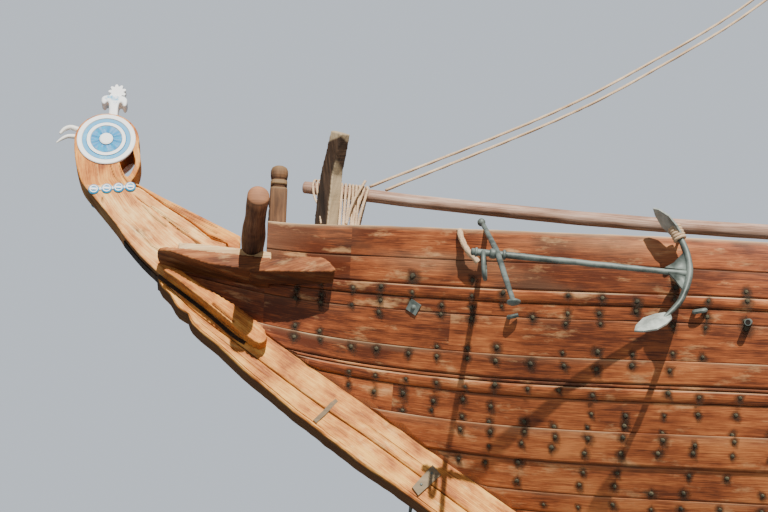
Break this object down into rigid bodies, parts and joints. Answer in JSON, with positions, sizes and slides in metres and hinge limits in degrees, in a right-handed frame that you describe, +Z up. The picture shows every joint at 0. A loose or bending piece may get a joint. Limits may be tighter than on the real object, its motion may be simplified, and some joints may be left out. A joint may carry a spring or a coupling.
{
  "type": "ghanjah dhow sailing boat",
  "caption": "Wooden dhow with carved curved stem head, cat beam, transom stern, raised poop, raked masts with furled lateen sails, rudder, capstan and bow anchors.",
  "frame": {"origin": "amidships on the centreline at the waterline", "axes": "+X aft, +Y starboard, +Z up"},
  "size_m": [28.2122, 7.56, 27.3842],
  "materials": {
    "hull_teak": "oiled reddish teak planking, weathered at the rail",
    "stem_timber": "lighter sun-bleached timber with drying cracks",
    "dark_timber": "dark red-brown weathered log",
    "deck_planks": "bare scrubbed deck planks",
    "spar_wood": "greyish tan spar with long cracks",
    "sailcloth": "unbleached cotton canvas",
    "rope": "three-strand natural fibre rope",
    "iron": "dark painted wrought iron",
    "white_paint": "white painted wood with light and mid blue rings"
  },
  "bodies": {
    "boat": {"anchor_port": "iron", "anchor_starboard": "iron", "beak_lower": "white_paint", "beak_upper": "white_paint", "boom_crutch": "dark_timber", "bow_bulwark_port": "hull_teak", "bow_bulwark_starboard": "hull_teak", "breasthook": "dark_timber", "capstan_step": "dark_timber", "cat_beam": "dark_timber", "cheek_log_port": "stem_timber", "cheek_log_starboard": "stem_timber", "crest": "white_paint", "deadwood": "dark_timber", "false_stem": "stem_timber", "fore_tackle": "rope", "foredeck": "deck_planks", "hatch_coaming": "hull_teak", "head_disc_port": "white_paint", "head_disc_starboard": "white_paint", "head_shelf_port": "stem_timber", "head_shelf_starboard": "stem_timber", "hull": "hull_teak", "jib_boom": "spar_wood", "keel": "dark_timber", "kevel_port": "dark_timber", "kevel_starboard": "dark_timber", "ladder": "stem_timber", "main_deck": "deck_planks", "main_mast": "spar_wood", "main_shrouds": "rope", "mizzen_mast": "spar_wood", "mizzen_shrouds": "rope", "poop_bulkhead": "hull_teak", "poop_deck": "deck_planks", "poop_rail_port": "stem_timber", "poop_rail_starboard": "stem_timber", "quarter_side_port": "hull_teak", "quarter_side_starboard": "hull_teak", "stem": "stem_timber", "stem_head": "stem_timber", "stem_knee": "stem_timber", "sternpost": "stem_timber", "transom": "stem_timber", "turned_post_port": "dark_timber", "turned_post_starboard": "dark_timber", "waist_bulwark_port": "hull_teak", "waist_bulwark_starboard": "hull_teak", "water_tank": "hull_teak"},
    "rudder": {"rudder": "stem_timber", "tiller": "dark_timber"},
    "main_yard": {"main_yard": "spar_wood", "main_sail_furled": "sailcloth", "main_parrel": "rope"},
    "mizzen_yard": {"mizzen_yard": "spar_wood", "mizzen_sail_furled": "sailcloth", "mizzen_parrel": "rope"},
    "capstan": {"capstan": "stem_timber"},
    "hatch_cover": {"hatch_cover": "deck_planks"}
  },
  "joints": [
    {"name": "rudder_turn", "type": "hinge", "parent": "boat", "child": "rudder", "pos_m": [12.40018, 0, -0.13505], "axis": [0.2873, 0, 0.9578], "range_deg": [-35, 35]},
    {"name": "main_yard_swing", "type": "hinge", "parent": "boat", "child": "main_yard", "pos_m": [-0.68672, 0, 15.04364], "axis": [-0.1564, 0, 0.9877], "range_deg": [0, 60]},
    {"name": "mizzen_yard_swing", "type": "hinge", "parent": "boat", "child": "mizzen_yard", "pos_m": [7.88655, 0, 11.88917], "axis": [-0.0523, 0, 0.9986], "range_deg": [-45, 60]},
    {"name": "capstan_turn", "type": "hinge", "parent": "boat", "child": "capstan", "pos_m": [-8.7, 0, 4.6], "axis": [0, 0, 1], "continuous": true},
    {"name": "hatch_cover_lift", "type": "slide", "parent": "boat", "child": "hatch_cover", "axis": [0, 0, 1], "range_m": [0, 0.6]}
  ]
}
